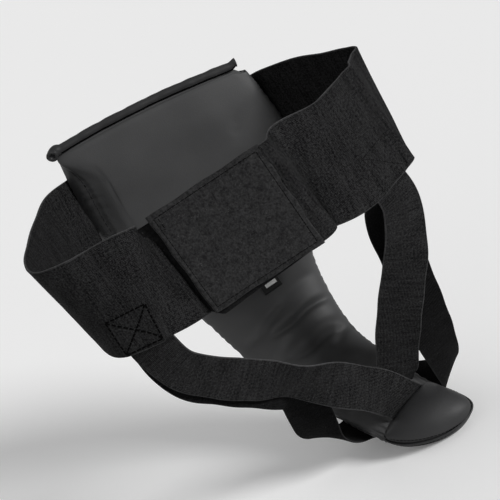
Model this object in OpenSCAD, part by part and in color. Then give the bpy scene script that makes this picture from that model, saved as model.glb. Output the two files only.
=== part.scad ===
// Groin protector: elastic waist belt with a rear closure, padded pouch with a rigid cup,
// four elastic leg bands and a padded tail.
// Frame: wearer upright, +Z up, -Y to the front, +X to the wearer's left, millimetres.
// Origin: centre of the waist loop at the belt's mid height.

/* [Waist belt] */
// Width of the waist loop, side to side
waist_w = 328; // [305:1:365]
// Depth of the waist loop, front to rear
waist_d = 206; // [180:1:230]
// Height of the elastic waist belt
belt_h = 100; // [80:1:115]
// Thickness of the elastic waist belt
belt_t = 2; // [1.4:0.1:2.6]

/* [Closure flap] */
// Width of the closure flap
flap_w = 106; // [90:1:116]
// Height of the closure flap
flap_h = 102; // [85:1:116]
// Thickness of the plush cover
cover_t = 1.6; // [1:0.1:2.2]
// Thickness of the hook strip and of the loop patch
tape_t = 1.2; // [0.8:0.1:1.6]
// Border left round the hook strip
hook_border = 8; // [4:1:14]
// Gap between the left belt's end and the flap's free edge
end_gap = 5; // [2:0.5:10]
// How far the closure panel reaches past the flap under the left belt
panel_lap = 14; // [8:1:20]
// How far the closure panel reaches below the flap on the left
panel_drop = 10; // [4:1:14]

/* [Leg bands] */
// Width of the elastic leg bands
band_w = 40; // [32:1:44]
// Thickness of the elastic leg bands
band_t = 1.6; // [1:0.1:2]
// Length of band that is sewn inside the belt
band_lap = 38; // [28:1:44]
// Diameter of the stitching thread
thread_d = 0.8; // [0.5:0.1:1.2]

/* [Pouch] */
// Height of the pouch from its top edge to the end of its neck
pouch_h = 321; // [305:1:335]
// Width of the pouch at the belt
pouch_w = 200; // [180:1:210]
// Width of the pouch at the neck
neck_w = 60; // [54:1:66]
// Depth of the pouch in front of its side seams
bulge_d = 44; // [38:1:54]
// Depth of the pouch behind its side seams
gusset_d = 18; // [16:1:22]
// Thickness of the artificial leather
skin_t = 1.4; // [1:0.1:1.8]
// Diameter of the rolled binding along the top edge
binding_d = 7.5; // [6:0.5:9]
// Rise of the top edge at its middle
top_bow = 5; // [0:0.5:9]
// Rise of the top edge at its left end, and fall at its right end
top_slant = 8; // [0:0.5:12]

/* [Cup and foam] */
// Thickness of the foam in front of the cup
outer_foam_t = 5; // [3:0.5:7]
// Wall of the rigid cup
cup_t = 3; // [2:0.5:4]
// Thickness of the foam towards the body
inner_foam_t = 6; // [4:0.5:7]
// Diameter of the soft cushion on the cup's edge
cushion_d = 4; // [3:0.5:5]

/* [Tail] */
// Width of the tail pad
tail_w = 68; // [62:1:74]
// Length of the tail pad
tail_l = 43; // [38:1:54]
// Thickness of the tail pad
tail_t = 26; // [20:1:30]
// Diameter of the welt round the tail pad
welt_d = 2.4; // [1.6:0.2:3.2]

/* [Size label] */
// Width of the woven size label
label_w = 19; // [14:1:26]
// Length of the woven size label that shows
label_l = 18; // [10:1:20]

/* [Hidden] */
// Clearance between neighbouring layers
gap = 0.3;
half_w = waist_w / 2;
front_y = -waist_d / 2 + 2;
rear_y = waist_d / 2 + 2;
skin_gap = skin_t + gap;

// ---- curves ----
function unit(v) = v / norm(v);
function hermite(p0, p1, p2, p3, f) = 0.5 * (2 * p1 + (p2 - p0) * f
    + (2 * p0 - 5 * p1 + 4 * p2 - p3) * f * f + (3 * p1 - p0 - 3 * p2 + p3) * f * f * f);
// Value at place x of a smooth curve through a list of numbers or points, one per whole x
function along(list, x) =
    let (n = len(list) - 1, i = max(0, min(floor(x), n - 1)))
    hermite(list[max(i - 1, 0)], list[i], list[i + 1], list[min(i + 2, n)], x - i);
function flow(list, x) =
    let (n = len(list) - 1, e = 0.02)
    unit(along(list, min(x + e, n)) - along(list, max(x - e, 0)));

// ---- closed sheets ----
// Solid between two equal grids of points, outer first, with walls along the four borders
module slab(outer, inner) {
    rows = len(outer);
    cols = len(outer[0]);
    size = rows * cols;
    pts = [for (g = [outer, inner]) for (row = g) for (p = row) p];
    function quad(a, b, c, d) = [[a, b, c], [a, c, d]];
    skin = [for (i = [0 : rows - 2]) for (j = [0 : cols - 2])
        let (a = i * cols + j)
        each concat(quad(a, a + 1, a + cols + 1, a + cols),
                    quad(size + a, size + a + cols, size + a + cols + 1, size + a + 1))];
    sides = [for (i = [0 : rows - 2])
        let (a = i * cols, b = a + cols - 1)
        each concat(quad(a, a + cols, size + a + cols, size + a),
                    quad(b + cols, b, size + b, size + b + cols))];
    ends = [for (j = [0 : cols - 2])
        let (a = j, b = (rows - 1) * cols + j)
        each concat(quad(a + 1, a, size + a, size + a + 1),
                    quad(b, b + 1, size + b + 1, size + b))];
    polyhedron(pts, concat(skin, sides, ends));
}

// Flat band of width w and thickness t: centre points and the way that its outer face looks at
// each one. A band that starts or ends in a seam has that end cut along the seam
module ribbon(path, face, w, t, steps = 6, from = 0, to = -1, start = [0, 0, 0], seam = [0, 0, 0]) {
    last = to < 0 ? len(path) - 1 : to;
    count = ceil((last - from) * steps);
    rows = [for (k = [0 : count])
        let (x = from + (last - from) * k / count,
             d = flow(path, x),
             s = unit(cross(d, along(face, x))),
             first = norm(start) * pow(max(0, from + 1 - x), 2),
             share = norm(seam) * pow(max(0, x - last + 1), 2),
             cut = unit(s * (1 - first - share) + start * first + seam * share))
        [along(path, x), cut * w / 2 / (cut * s), cross(s, d) * t / 2]];
    slab([for (r = rows) [r[0] + r[1] + r[2], r[0] - r[1] + r[2]]],
         [for (r = rows) [r[0] + r[1] - r[2], r[0] - r[1] - r[2]]]);
}

// Round cord through a list of points
module cord(path, d, steps = 4, sides = 8) {
    count = (len(path) - 1) * steps;
    rings = [for (k = [0 : count])
        let (x = k / steps,
             t = flow(path, x),
             a = unit(cross(t, abs(t.z) < 0.8 ? [0, 0, 1] : [0, 1, 0])),
             b = cross(t, a))
        for (j = [0 : sides - 1]) along(path, x) + (a * cos(j * 360 / sides) + b * sin(j * 360 / sides)) * d / 2];
    wall = [for (k = [0 : count - 1]) for (j = [0 : sides - 1])
        let (a = k * sides + j, b = k * sides + (j + 1) % sides)
        each [[a, b + sides, b], [a, a + sides, b + sides]]];
    polyhedron(rings, concat(wall,
        [[for (j = [0 : sides - 1]) j], [for (j = [sides - 1 : -1 : 0]) count * sides + j]]));
}

// ---- pouch form ----
// Routes below the belt: heights follow the pouch's height, depths start at its front
drop = pouch_h / 321;
function hung(list) = [for (p = list) [p.x, front_y + p.y, p.z * drop]];
// Middle line of the pouch from its top edge to the neck, and its form at the same places
spine = hung([[5, 3, 64], [5, 2, 30], [4, 0, -20], [4, 0, -78], [3, 8, -130],
              [-1, 28, -178], [-12, 64, -214], [-28.5, 108.6, -240.4], [-43.5, 148.2, -256.8]]);
half_form = [0.465, 0.49, 0.49, 0.43, 0.31, 0.255];
neck_form = [0.68, 0.62, 0.57];
front_form = [0.09, 0.5, 0.8, 1, 1, 0.86, 0.66, 0.5, 0.44];
rear_form = [0.2, 0.8, 1, 1, 0.9, 0.78, 0.64, 0.56, 0.52];
half_ws = concat(half_form * pouch_w, neck_form * neck_w);
pouch_yaw = -6;
neck_s = len(spine) - 1;
rear_round = 3.4;
front_round = 2.3;

function mid(s) = along(spine, s);
function down(s) = flow(spine, s);
function side(s) =
    let (t = down(s), l = [cos(pouch_yaw), sin(pouch_yaw), 0])
    unit(l - t * (l * t));
function back(s) = cross(side(s), down(s));
// The padding thins out towards the neck seam
function puff(s) = let (f = max(0, (s - neck_s + 0.3) / 0.3)) 0.4 + 0.6 * sqrt(1 - 0.98 * f * f);
function rounded(c, m) = sign(c) * pow(abs(c), 2 / m);
function rear_depth(s) = along(rear_form, s) * gusset_d * puff(s);
function front_depth(s) = along(front_form, s) * bulge_d * (0.7 + 0.3 * puff(s));
function lift(s, x) = [0, 0, (top_bow * (1 - x * x) + top_slant * x) * pow(max(0, 1 - s), 1.2)];
// Point of the pouch at place s and turn q (0 left seam, 90 rear, 270 front), d inside its surface
function pouch_pt(s, q, d = 0) =
    let (m = q <= 180 ? rear_round : front_round,
         a = along(half_ws, s) - d,
         b = (q <= 180 ? rear_depth(s) : front_depth(s)) - d,
         x = rounded(cos(q), m))
    mid(s) + side(s) * a * x + back(s) * max(b, 0.2) * rounded(sin(q), m)
    + lift(s, x);
// Point on a flat sheet inside the pouch: share x of its half width, h behind the side seams
function sheet_pt(s, x, h, d) =
    mid(s) + side(s) * (along(half_ws, s) - d) * x + back(s) * h + lift(s, x);
function grid(ss, qs, d) = [for (s = ss) [for (q = qs) pouch_pt(s, q, d)]];
seam_q = 1.5;
rear_q = [for (k = [0 : 14]) seam_q + (180 - 2 * seam_q) * k / 14];
front_q = [for (k = [0 : 14]) 180 + seam_q + (180 - 2 * seam_q) * k / 14];
core_s = [for (k = [0 : 20]) 0.8 + k * 0.34];
skin_s = concat([0, 0.12, 0.25, 0.5], core_s, [7.75, 7.86, 7.95, 8]);

// ---- flap place ----
flap_mid = [10.5, rear_y - 2, 1];
flap_yaw = -9;
flap_roll = 4;
// Depths behind the outer face of the flap
base_y = -cover_t - gap;
hook_y = base_y - belt_t - gap;
patch_y = hook_y - tape_t - gap;
panel_y = patch_y - tape_t - gap;
module at_flap() translate(flap_mid) rotate([0, 0, flap_yaw]) rotate([0, flap_roll, 0]) children();
function flap_pt(x, y, z) =
    let (v = [x * cos(flap_roll) + z * sin(flap_roll), y, z * cos(flap_roll) - x * sin(flap_roll)])
    flap_mid + [v.x * cos(flap_yaw) - v.y * sin(flap_yaw), v.x * sin(flap_yaw) + v.y * cos(flap_yaw), v.z];
// Plate in the flap's own axes, between two depths
module plate(x0, x1, z0, z1, y_out, t) translate([x0, y_out - t, z0]) cube([x1 - x0, t, z1 - z0]);

// ---- belt routes ----
left_join_s = 1.68;
right_join_s = 1.8;
end_depth = panel_y + gap + belt_t / 2;
left_path = [
    pouch_pt(left_join_s, 0, -3 * gap - belt_t / 2),
    [half_w - 39, front_y + 12, 0],
    [half_w - 20, front_y + 60, 0],
    [half_w - 5, front_y + 124, 0],
    [half_w - 7, front_y + 160, 0],
    [half_w - 24, rear_y - 25, 0],
    [half_w - 44, rear_y - 19, 0],
    [half_w - 64, rear_y - 13, 0],
    flap_pt(flap_w / 2 + end_gap + 14, end_depth + 1, 0),
    flap_pt(flap_w / 2 + end_gap, end_depth, 0)];
left_face = [
    [0.8, -0.6, 0], [0.8, -0.6, 0], [0.96, -0.27, -0.04], [0.98, -0.05, -0.14],
    [0.9, 0.4, -0.16], [0.45, 0.9, -0.04], [0.32, 0.95, 0.02], [0.2, 0.98, 0.05],
    [0.15, 1, 0.01], [0.158, 1, 0]];
box_x = 6;

hinge_x = -flap_w / 2;
fold_x = hinge_x - 24;
fold_i = 8;
right_path = [
    pouch_pt(right_join_s, 180, -4 * gap - belt_t / 2),
    [-half_w + 48, front_y + 48, 0],
    [-half_w + 23, front_y + 85, 0],
    [-half_w + 6, front_y + 117, 0],
    [-half_w + 7, front_y + 126, 0],
    [-half_w + 20, rear_y - 49, 0],
    [-half_w + 45, rear_y - 32, 0],
    [-half_w + 69, rear_y - 22, 0],
    flap_pt(fold_x, base_y - belt_t / 2 - 8, 0),
    flap_pt(hinge_x - 10, base_y - belt_t / 2 - 1, 0),
    flap_pt(hinge_x - gap, base_y - belt_t / 2, 0)];
right_face = [
    [-0.9, -0.5, 0], [-0.8, -0.62, 0], [-0.82, -0.56, 0], [-0.95, -0.3, -0.05],
    [-0.95, 0.3, 0], [-0.72, 0.68, 0.12], [-0.5, 0.86, 0.12], [-0.45, 0.9, 0.1],
    [-0.35, 0.94, 0.04], [-0.05, 1, 0], [0.158, 1, 0]];
box_right_x = 5.82;
fold_cut = 0.03;
// Line that the belt folds along beside the flap
fold_axis = unit(cross(flow(right_path, fold_i), along(right_face, fold_i)));

// ---- leg band routes ----
// Place on a belt's inner face: layer 0 is the nearer band, layer 1 the one behind it
function inner_pt(path, face, x, z, layer) =
    along(path, x) + [0, 0, z]
    - unit(along(face, x)) * (belt_t / 2 + (layer + 1) * 4 * gap + (layer + 0.5) * band_t);
// Places on the neck, over it and under it, h off its skin
function over_pt(s, x, h) = mid(s) + side(s) * x + back(s) * (rear_depth(s) + h);
function under_pt(s, x, h) = mid(s) + side(s) * x - back(s) * (front_depth(s) + h);
lap_top = -belt_h / 2 + band_lap;
lap_mid = -belt_h / 2 + band_lap / 2;
lap_low = -belt_h / 2 - 8;
first_h = gap + band_t / 2;
neck_band_s = 7;
left_end_s = 7.95;
right_end_s = 7.66;
left_box = along(left_face, box_x);
right_box = along(right_face, box_right_x);

left_rear_path = concat(
    [for (z = [lap_top, lap_mid, lap_low]) inner_pt(left_path, left_face, box_x, z, 1.2)],
    hung([[108, 182, -83], [85, 180, -110], [58, 174, -135], [27, 167, -162], [-6, 160, -194], [-31, 156, -221]]),
    [over_pt(left_end_s, -4, 5 * gap)]);
left_rear_face = [left_box, left_box, left_box, [0.15, 0.95, 0.2], [0.1, 0.93, 0.35], [0.05, 0.92, 0.4],
    [0, 0.9, 0.4], [-0.05, 0.9, 0.4], [-0.15, 0.95, 0.25], [-0.3, 0.9, 0]];

right_rear_path = concat(
    [for (z = [lap_top, lap_mid, lap_low]) inner_pt(right_path, right_face, box_right_x, z, 0.3)],
    hung([[-124, 173, -84], [-107, 170, -110], [-90, 164, -143], [-72, 155, -176], [-59, 144, -207]]),
    [over_pt(right_end_s, -3, 5 * gap)]);
right_rear_face = [right_box, right_box, right_box, [-0.2, 0.95, 0.15], [-0.1, 0.94, 0.3], [-0.05, 0.93, 0.35],
    [0, 0.92, 0.4], [-0.1, 0.95, 0.3], [-0.3, 0.9, 0]];

left_side_path = concat(
    [for (z = [lap_top, lap_mid, lap_low]) inner_pt(left_path, left_face, box_x, z, 2.2)],
    hung([[109, 171, -88], [85, 166, -115], [58, 159, -141], [31, 150, -168], [32, 143, -205], [33, 137, -234],
          [20, 128, -250]]),
    [under_pt(neck_band_s, 28, first_h + 4), under_pt(neck_band_s, 6, first_h + 5 * gap)]);
left_side_face = [left_box, left_box, left_box, [0.15, 0.9, 0.3], [0.1, 0.9, 0.4], [0.1, 0.9, 0.4],
    [0.1, 0.95, 0.3], [0.2, 0.95, 0], [0.6, 0.7, -0.3], [0.5, 0, -0.8], -back(neck_band_s), -back(neck_band_s)];

right_side_path = concat(
    [for (z = [lap_top, lap_mid, lap_low]) inner_pt(right_path, right_face, box_right_x, z, 1.3)],
    hung([[-115, 166, -86], [-107, 157, -126], [-102, 149, -166], [-100, 141, -212], [-99, 130, -246],
          [-86, 116, -258]]),
    [under_pt(neck_band_s, -28, first_h + 4), under_pt(neck_band_s, -6, first_h + 4 * gap)]);
right_side_face = [right_box, right_box, right_box, [-0.2, 0.95, 0.2], [-0.1, 0.95, 0.25], [0, 0.95, 0.25],
    [-0.2, 0.95, 0.1], [-0.6, 0.7, -0.3], [-0.5, 0, -0.8], -back(neck_band_s), -back(neck_band_s)];

// ---- tail form ----
// Share of length, of width, of thickness above the seam and below it
tail_form = [[0, 0.84, 0.12, 0.56], [0.05, 0.88, 0.26, 0.6], [0.16, 0.93, 0.38, 0.62], [0.4, 0.98, 0.45, 0.6],
    [0.66, 1, 0.42, 0.55], [0.84, 0.92, 0.34, 0.44], [0.94, 0.76, 0.24, 0.3], [0.985, 0.52, 0.13, 0.16],
    [1, 0.2, 0.07, 0.07]];
tail_turn = 0.15;
tail_round = 2.4;
tail_base = mid(neck_s) + down(neck_s) * 2 * gap;
// The tail leaves the neck straight and turns to the wearer's left along its length
function tail_mid(f) = tail_base + (down(neck_s) * f + side(neck_s) * tail_turn * f * f) * tail_l;
function tail_down(f) = unit(down(neck_s) + side(neck_s) * 2 * tail_turn * f);
function tail_pt(s, q, d = 0) =
    let (f = along(tail_form, s),
         t = tail_down(f[0]),
         l = unit(side(neck_s) - t * (side(neck_s) * t)),
         x = (f[1] * tail_w / 2 - d) * rounded(cos(q), tail_round),
         h = max((q <= 180 ? f[2] : f[3]) * tail_t - d, 0.2))
    tail_mid(f[0] * (1 - d / tail_l)) + l * x + cross(l, t) * h * rounded(sin(q), tail_round);
tail_s = [for (k = [0 : 16]) k / 2];
function tail_grid(qs, d) = [for (s = tail_s) [for (q = qs) tail_pt(s, q, d)]];

// ================= pieces =================

module pouch_inner_skin() color([0.14, 0.14, 0.15])
    slab(grid(skin_s, rear_q, 0), grid(skin_s, rear_q, skin_t));

module pouch_outer_skin() color([0.12, 0.12, 0.13])
    slab(grid(skin_s, front_q, 0), grid(skin_s, front_q, skin_t));

// Foam in front of the cup
module outer_foam() color([0.3, 0.3, 0.32])
    slab(grid(core_s, front_q, skin_gap), grid(core_s, front_q, skin_gap + outer_foam_t));

// Rigid cup behind the outer foam
cup_s = [for (k = [3 : 16]) core_s[k]];
cup_q = [for (k = [1 : 13]) front_q[k]];
cup_d = skin_gap + outer_foam_t + gap;
module cup_shell() color([0.75, 0.75, 0.72])
    slab(grid(cup_s, cup_q, cup_d), grid(cup_s, cup_q, cup_d + cup_t));

// Soft cushion round the cup's edge, split at the middle of its upper side
cup_top = cup_s[0];
cup_low = cup_s[len(cup_s) - 1];
edge_off = gap + cushion_d / 2;
edge_d = cup_d + edge_off + 0.2;
edge_q = 14;
// Place behind the cup's side edge, and beyond its upper (-1) or lower (1) edge
function edge_side(s, q) = pouch_pt(s, q, edge_d) + back(s) * edge_off;
function edge_end(s, q, way) = pouch_pt(s + way * 0.08, q, edge_d);
cushion_path = concat(
    [for (q = [275, 300, 330]) edge_end(cup_top, q, -1)],
    [for (s = [cup_top - 0.04 : 0.5 : cup_low + 0.04]) edge_side(s, 360 - edge_q)],
    [for (q = [330, 300, 270, 240, 210]) edge_end(cup_low, q, 1)],
    [for (s = [cup_low + 0.04 : -0.5 : cup_top - 0.04]) edge_side(s, 180 + edge_q)],
    [for (q = [210, 240, 265]) edge_end(cup_top, q, -1)]);
module cup_cushion() color([0.2, 0.2, 0.2]) cord(cushion_path, cushion_d, 2, 8);

// Foam under the inner skin
pad_q = [for (k = [0 : 10]) 22 + 13.6 * k];
module inner_foam() color([0.35, 0.35, 0.37])
    slab(grid(core_s, pad_q, skin_gap), grid(core_s, pad_q, skin_gap + inner_foam_t));

module top_binding() color([0.13, 0.13, 0.14])
    cord([for (x = [1.02, 0.5, 0, -0.5, -1.02]) sheet_pt(0, x, 0, 0) + [0, 0, binding_d / 2]], binding_d, 4, 10);

module belt_left() color([0.07, 0.07, 0.075]) ribbon(left_path, left_face, belt_h, belt_t, 5);

module belt_right_front() color([0.07, 0.07, 0.075])
    ribbon(right_path, right_face, belt_h, belt_t, 5, 0, fold_i - fold_cut, seam = fold_axis);

module belt_right_rear() color([0.07, 0.07, 0.075])
    ribbon(right_path, right_face, belt_h, belt_t, 5, fold_i + fold_cut, start = fold_axis);

module flap_base() color([0.07, 0.07, 0.075]) at_flap()
    plate(hinge_x + gap, flap_w / 2 - 1, -belt_h / 2 + 1, belt_h / 2 - 1, base_y, belt_t);

module flap_cover() color([0.1, 0.1, 0.105]) at_flap()
    plate(hinge_x, flap_w / 2, -flap_h / 2, flap_h / 2, 0, cover_t);

module hook_strip() color([0.06, 0.06, 0.06]) at_flap()
    plate(hinge_x + hook_border, flap_w / 2 - hook_border / 2, hook_border / 2 - flap_h / 2, flap_h / 2 - hook_border / 2,
          hook_y, tape_t);

module loop_patch() color([0.09, 0.09, 0.09]) at_flap()
    plate(hinge_x + hook_border / 2, flap_w / 2 + 1, hook_border / 2 - flap_h / 2, belt_h / 2 - hook_border,
          patch_y, tape_t);

// Panel sewn behind the left belt's end, its lower edge slants down to the left
module closure_panel() color([0.09, 0.09, 0.09]) at_flap() translate([0, panel_y, 0]) rotate([90, 0, 0])
    linear_extrude(tape_t) polygon([[hinge_x + 4, -flap_h / 2 - 2], [flap_w / 2 + panel_lap, -flap_h / 2 - panel_drop],
        [flap_w / 2 + panel_lap, belt_h / 2 - 6], [hinge_x + 4, belt_h / 2 - 6]]);

// Woven tab sewn to the inner face, just below the belt
label_s = 3.94;
label_mm = norm(mid(label_s + 0.5) - mid(label_s - 0.5));
label_t = 0.8;
label_x = -11;
module size_label() color([0.1, 0.1, 0.1])
    slab([for (k = [0 : 3]) [for (x = [1, 0, -1])
             over_pt(label_s + k * label_l / 3 / label_mm, label_x + x * label_w / 2, gap + label_t)]],
         [for (k = [0 : 3]) [for (x = [1, 0, -1])
             over_pt(label_s + k * label_l / 3 / label_mm, label_x + x * label_w / 2, gap)]]);

// Box with a cross, sewn through the belt and the band ends behind it
function belt_out(path, face, x, z, h) =
    let (n = unit(along(face, x)), w = unit(cross(flow(path, x), n)))
    along(path, x) + w * sign(w.z) * z + n * (belt_t / 2 + gap + h);
// Runs of thread as [from corner, to corner, layer]; runs that cross lie in layers
box_runs = [[0, 1, 0], [1, 2, 0], [2, 3, 0], [3, 0, 0], [0, 2, 1], [1, 3, 2]];
module box_stitch(path, face, mid_x) {
    mm = norm(along(path, mid_x + 0.5) - along(path, mid_x - 0.5));
    hx = (band_w / 2 - 2) / mm;
    z0 = 3 - belt_h / 2;
    z1 = band_lap - 3 - belt_h / 2;
    n = unit(along(face, mid_x));
    corners = [[mid_x - hx, z0], [mid_x + hx, z0], [mid_x + hx, z1], [mid_x - hx, z1]];
    for (run = box_runs) {
        a = corners[run[0]];
        b = corners[run[1]];
        h = thread_d / 4 + run[2] * (thread_d / 2 + 0.05);
        ribbon([for (f = [0.04, 0.27, 0.5, 0.73, 0.96]) let (c = a + (b - a) * f) belt_out(path, face, c[0], c[1], h)],
               [for (f = [0 : 4]) n], thread_d, thread_d / 2, 1);
    }
}
module box_stitch_left() color([0.05, 0.05, 0.05]) box_stitch(left_path, left_face, box_x);
module box_stitch_right() color([0.05, 0.05, 0.05]) box_stitch(right_path, right_face, box_right_x);

// Foam block over the lower abdomen, above the cup
block_s = [for (k = [0 : 2]) core_s[k]];
module abdomen_foam() color([0.3, 0.3, 0.32])
    slab(grid(block_s, cup_q, cup_d),
         [for (s = block_s) [for (q = cup_q) sheet_pt(s, rounded(cos(q), front_round) * 0.97, -0.5, cup_d)]]);

module band_left_rear() color([0.08, 0.08, 0.085]) ribbon(left_rear_path, left_rear_face, band_w, band_t, 4, seam = side(left_end_s));
module band_left_side() color([0.08, 0.08, 0.085]) ribbon(left_side_path, left_side_face, band_w, band_t, 4);
module band_right_rear() color([0.08, 0.08, 0.085]) ribbon(right_rear_path, right_rear_face, band_w, band_t, 4, seam = side(right_end_s));
module band_right_side() color([0.08, 0.08, 0.085]) ribbon(right_side_path, right_side_face, band_w, band_t, 4);

module tail_upper_skin() color([0.14, 0.14, 0.15])
    slab(tail_grid(rear_q, 0), tail_grid(rear_q, skin_t));

module tail_under_skin() color([0.12, 0.12, 0.13])
    slab(tail_grid(front_q, 0), tail_grid(front_q, skin_t));

module tail_foam() color([0.3, 0.3, 0.32])
    slab(tail_grid(rear_q, skin_gap),
         tail_grid([for (q = rear_q) 360 - q], skin_gap));

module tail_welt() color([0.1, 0.1, 0.1])
    cord(concat([for (s = [0.5 : 0.5 : 8]) tail_pt(s, 0, -welt_d / 2 - gap)],
                [for (s = [8 : -0.5 : 0.5]) tail_pt(s, 180, -welt_d / 2 - gap)]), welt_d, 1, 8);

pouch_inner_skin();
pouch_outer_skin();
outer_foam();
cup_shell();
cup_cushion();
inner_foam();
top_binding();
belt_left();
belt_right_front();
belt_right_rear();
flap_base();
flap_cover();
hook_strip();
loop_patch();
band_left_rear();
band_left_side();
band_right_rear();
band_right_side();
tail_upper_skin();
tail_under_skin();
tail_foam();
tail_welt();
closure_panel();
size_label();
box_stitch_left();
box_stitch_right();
abdomen_foam();
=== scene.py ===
import bpy, bmesh, math
import numpy as np
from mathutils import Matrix, Quaternion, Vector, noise


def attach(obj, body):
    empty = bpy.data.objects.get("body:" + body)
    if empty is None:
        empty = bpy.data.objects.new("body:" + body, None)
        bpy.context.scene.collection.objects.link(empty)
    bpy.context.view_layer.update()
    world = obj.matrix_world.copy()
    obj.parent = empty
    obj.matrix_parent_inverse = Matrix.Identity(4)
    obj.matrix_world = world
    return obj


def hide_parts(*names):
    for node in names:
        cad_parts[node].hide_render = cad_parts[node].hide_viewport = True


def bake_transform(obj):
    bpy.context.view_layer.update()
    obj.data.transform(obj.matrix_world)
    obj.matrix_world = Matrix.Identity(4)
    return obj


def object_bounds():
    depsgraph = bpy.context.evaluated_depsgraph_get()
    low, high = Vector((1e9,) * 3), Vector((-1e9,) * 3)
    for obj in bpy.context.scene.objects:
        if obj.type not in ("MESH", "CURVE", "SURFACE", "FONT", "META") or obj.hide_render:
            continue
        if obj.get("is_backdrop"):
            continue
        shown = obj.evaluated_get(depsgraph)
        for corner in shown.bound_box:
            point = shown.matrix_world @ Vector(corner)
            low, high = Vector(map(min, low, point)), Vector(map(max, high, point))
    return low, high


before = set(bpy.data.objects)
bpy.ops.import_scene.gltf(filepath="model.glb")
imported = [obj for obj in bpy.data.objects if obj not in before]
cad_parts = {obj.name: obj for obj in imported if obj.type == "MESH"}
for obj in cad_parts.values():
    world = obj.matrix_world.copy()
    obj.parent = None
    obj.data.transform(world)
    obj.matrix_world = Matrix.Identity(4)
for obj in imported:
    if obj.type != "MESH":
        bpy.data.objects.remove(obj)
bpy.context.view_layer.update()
mm = 0.001  # the forms below are in millimetres, the meshes in metres
print("frame loaded:", len(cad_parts), "nodes")

# camera: behind the wearer, a little to the left, from above, tilted
cameraView = {"turn": 5, "rise": 22.5, "tilt": -31, "distance": 1.45, "aim": (0, 0, -0.062), "lens": 120}


def placeCamera(view):
    turn, rise = math.radians(view["turn"]), math.radians(view["rise"])
    back = Vector((math.sin(turn) * math.cos(rise), math.cos(turn) * math.cos(rise), math.sin(rise)))
    camera = bpy.data.objects.new("camera", bpy.data.cameras.new("camera"))
    bpy.context.scene.collection.objects.link(camera)
    camera.data.lens = view["lens"]
    camera.data.sensor_width = 36
    camera.location = Vector(view["aim"]) + back * view["distance"]
    camera.rotation_mode = "QUATERNION"
    camera.rotation_quaternion = (-back).to_track_quat("-Z", "Y") @ Quaternion((0, 0, 1), math.radians(view["tilt"]))
    bpy.context.scene.camera = camera


placeCamera(cameraView)

# ---------- curves and forms ----------


def curveAt(points, x):
    points = np.asarray(points, float)
    x = np.atleast_1d(np.asarray(x, float))
    last = len(points) - 1
    i = np.clip(np.floor(x).astype(int), 0, last - 1)
    f = x - i
    if points.ndim == 2:
        f = f[:, None]
    p0, p1, p2, p3 = points[np.maximum(i - 1, 0)], points[i], points[i + 1], points[np.minimum(i + 2, last)]
    return 0.5 * (2 * p1 + (p2 - p0) * f + (2 * p0 - 5 * p1 + 4 * p2 - p3) * f**2 + (3 * p1 - p0 - 3 * p2 + p3) * f**3)


def unitRows(rows):
    return rows / np.maximum(np.linalg.norm(rows, axis=-1, keepdims=True), 1e-9)


def flowAt(points, x):
    last = len(points) - 1
    x = np.atleast_1d(np.asarray(x, float))
    return unitRows(curveAt(points, np.minimum(x + 0.02, last)) - curveAt(points, np.maximum(x - 0.02, 0)))


def smoothList(values, reach):
    # rolling mean with a soft window, ends kept
    n = int(reach * 3)
    w = np.exp(-0.5 * (np.arange(-n, n + 1) / reach) ** 2)
    w /= w.sum()
    head = 2 * values[0] - values[n:0:-1]
    tail = 2 * values[-1] - values[-2:-n - 2:-1]
    full = np.concatenate([head, values, tail])
    return np.stack([np.convolve(full[:, k], w, "valid") for k in range(values.shape[1])], 1)


def runAlong(spots):
    # the length along a line up to each of its places
    return np.concatenate([[0], np.cumsum(np.linalg.norm(np.diff(spots, axis=0), axis=1))])


def ripple(points, scale, seed=0.0):
    # smooth noise from -1 to 1 at many places, scale in millimetres
    return np.array([noise.noise(Vector(p) / scale + Vector((seed, -seed, 2 * seed))) for p in points])


def bump(x, middle, width):
    return np.exp(-0.5 * ((x - middle) / width) ** 2)


def ramp(x, low, high):
    f = np.clip((x - low) / (high - low), 0, 1)
    return f * f * (3 - 2 * f)


def roundOff(share):
    # a quarter round that starts at 0 and is full at 1
    return np.sqrt(np.clip(1 - np.clip(1 - share, 0, 1) ** 2, 0, 1))


# ---------- meshes ----------


def makePiece(name, verts, faces, uv=None):
    mesh = bpy.data.meshes.new(name)
    mesh.from_pydata([tuple(v) for v in np.asarray(verts) * mm], [], faces)
    mesh.validate()
    if uv is not None:
        layer = mesh.uv_layers.new(name="cloth")
        index = np.zeros(len(mesh.loops), int)
        mesh.loops.foreach_get("vertex_index", index)
        layer.data.foreach_set("uv", (np.asarray(uv)[index] * mm).ravel())
    piece = bpy.data.objects.new(name, mesh)
    bpy.context.scene.collection.objects.link(piece)
    mesh.shade_smooth()
    return piece


def ringFaces(rows, cols):
    # the faces of a form made of rings, with both ends shut
    faces = [(r * cols + k, r * cols + (k + 1) % cols, (r + 1) * cols + (k + 1) % cols, (r + 1) * cols + k)
             for r in range(rows - 1) for k in range(cols)]
    return faces + [tuple(range(cols)), tuple(reversed(range((rows - 1) * cols, rows * cols)))]


def faceOutwards(piece):
    bpy.ops.object.select_all(action="DESELECT")
    piece.select_set(True)
    bpy.context.view_layer.objects.active = piece
    bpy.ops.object.mode_set(mode="EDIT")
    bpy.ops.mesh.select_all(action="SELECT")
    bpy.ops.mesh.remove_doubles(threshold=0.00001)
    bpy.ops.mesh.normals_make_consistent(inside=False)
    bpy.ops.object.mode_set(mode="OBJECT")


def placePiece(piece, body, finish, nodes=()):
    piece.data.materials.clear()
    piece.data.materials.append(finish)
    if body:
        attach(piece, body)
    if nodes:
        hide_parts(*nodes)
    return piece


# ---------- straps: belts, leg bands, flap and panel ----------


rowStep = 2.0


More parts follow.
